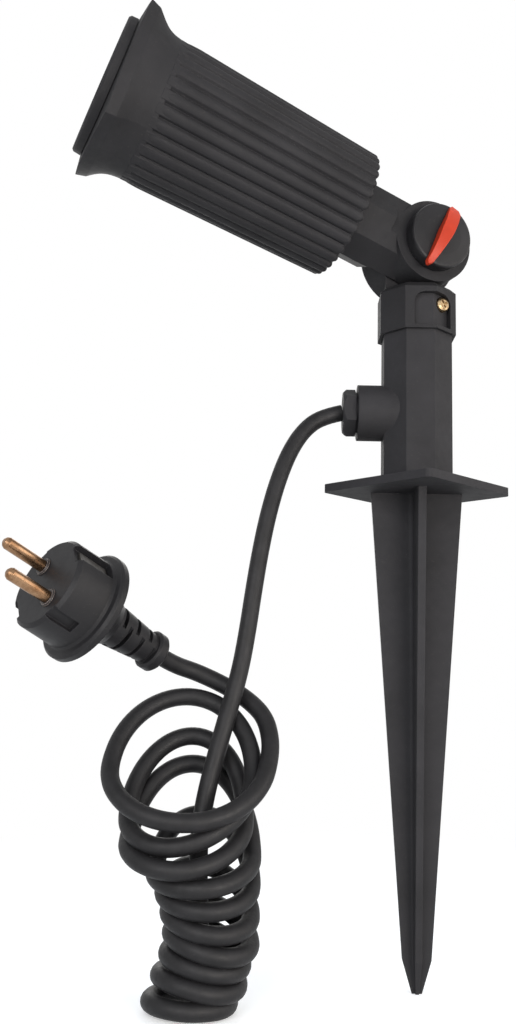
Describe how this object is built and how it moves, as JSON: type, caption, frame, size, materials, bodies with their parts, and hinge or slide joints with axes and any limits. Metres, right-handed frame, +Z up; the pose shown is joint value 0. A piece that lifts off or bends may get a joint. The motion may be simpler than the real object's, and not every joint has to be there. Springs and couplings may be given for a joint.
{
  "type": "garden spike spotlight",
  "caption": "Fluted spotlight head with flared four-pointed rim on a lockable hinge, over a stem with cable gland, plate and cross-shaped ground spike, with coiled cord and mains plug.",
  "frame": {"origin": "tip of the ground spike", "axes": "+Z up along the spike; the hinge pin lies along Y with its clamp knob on the -Y side; the head leans towards -X"},
  "size_m": [0.2076, 0.0724, 0.3827],
  "materials": {
    "housing_plastic": "satin black, moulded, with faint flow marks",
    "stem_plastic": "satin black, moulded",
    "joint_plastic": "satin black, moulded",
    "knob_plastic": "semi-gloss black",
    "grip_red": "semi-gloss orange red",
    "cord_rubber": "smooth black cable sheath",
    "plug_rubber": "satin black moulded rubber",
    "seal_rubber": "matt black",
    "seal_plastic": "natural polyamide",
    "collar_plastic": "black sleeve",
    "block_plastic": "natural polyamide",
    "wire_sleeve": "insulated wires",
    "screw_brass": "yellow passivated, cross recess",
    "pin_brass": "polished, slightly tarnished",
    "insert_brass": "turned",
    "bolt_steel": "zinc plated",
    "bracket_steel": "zinc plated sheet",
    "clip_steel": "nickel plated spring",
    "pin_steel": "nickel plated",
    "lamp_mirror": "aluminised, facetted",
    "lamp_ceramic": "white glazed ceramic",
    "burner_glass": "clear quartz capsule",
    "clear_glass": "clear flat glass"
  },
  "bodies": {
    "base": {"ground_spike": "stem_plastic", "gland_seal": "seal_rubber", "gland_washer": "seal_plastic", "gland_nut": "stem_plastic", "terminal_block": "block_plastic", "stem_wires": "wire_sleeve", "cord_tail": "cord_rubber", "joint_socket": "joint_plastic", "hinge_seal": "seal_rubber", "socket_screw": "screw_brass", "clamp_bolt": "bolt_steel", "supply_cord": "cord_rubber", "cord_coil": "cord_rubber", "cord_loops": "cord_rubber", "plug_lead": "cord_rubber", "plug_body": "plug_rubber", "plug_pins": "pin_brass", "plug_pin_collars": "collar_plastic", "plug_earth_clips": "clip_steel", "plug_boot": "plug_rubber", "boot_cord": "cord_rubber"},
    "head": {"housing_neck": "joint_plastic", "neck_lock_nut": "joint_plastic", "lamp_housing": "housing_plastic", "lamp_reflector": "lamp_mirror", "lamp_cover": "clear_glass", "lamp_burner": "burner_glass", "lamp_base": "lamp_ceramic", "lamp_pins": "pin_steel", "lamp_holder": "lamp_ceramic", "holder_bracket": "bracket_steel", "head_wires": "wire_sleeve"},
    "knob": {"clamp_knob": "knob_plastic", "knob_grip": "grip_red", "knob_insert": "insert_brass"},
    "ring": {"front_ring": "housing_plastic", "lens_glass": "clear_glass", "lens_gasket": "seal_rubber"}
  },
  "joints": [
    {"name": "head_tilt", "type": "hinge", "parent": "base", "child": "head", "pos_m": [0, 0, 0.308], "axis": [0, 1, 0], "range_deg": [-17.6, 162.4]},
    {"name": "knob_turn", "type": "hinge", "parent": "base", "child": "knob", "pos_m": [0, -0.019, 0.308], "axis": [0, -1, 0], "range_deg": [0, 180]},
    {"name": "ring_turn", "type": "hinge", "parent": "head", "child": "ring", "pos_m": [-0.14155, 0, 0.3529], "axis": [-0.9532, 0, 0.3024], "range_deg": [0, 30]}
  ]
}
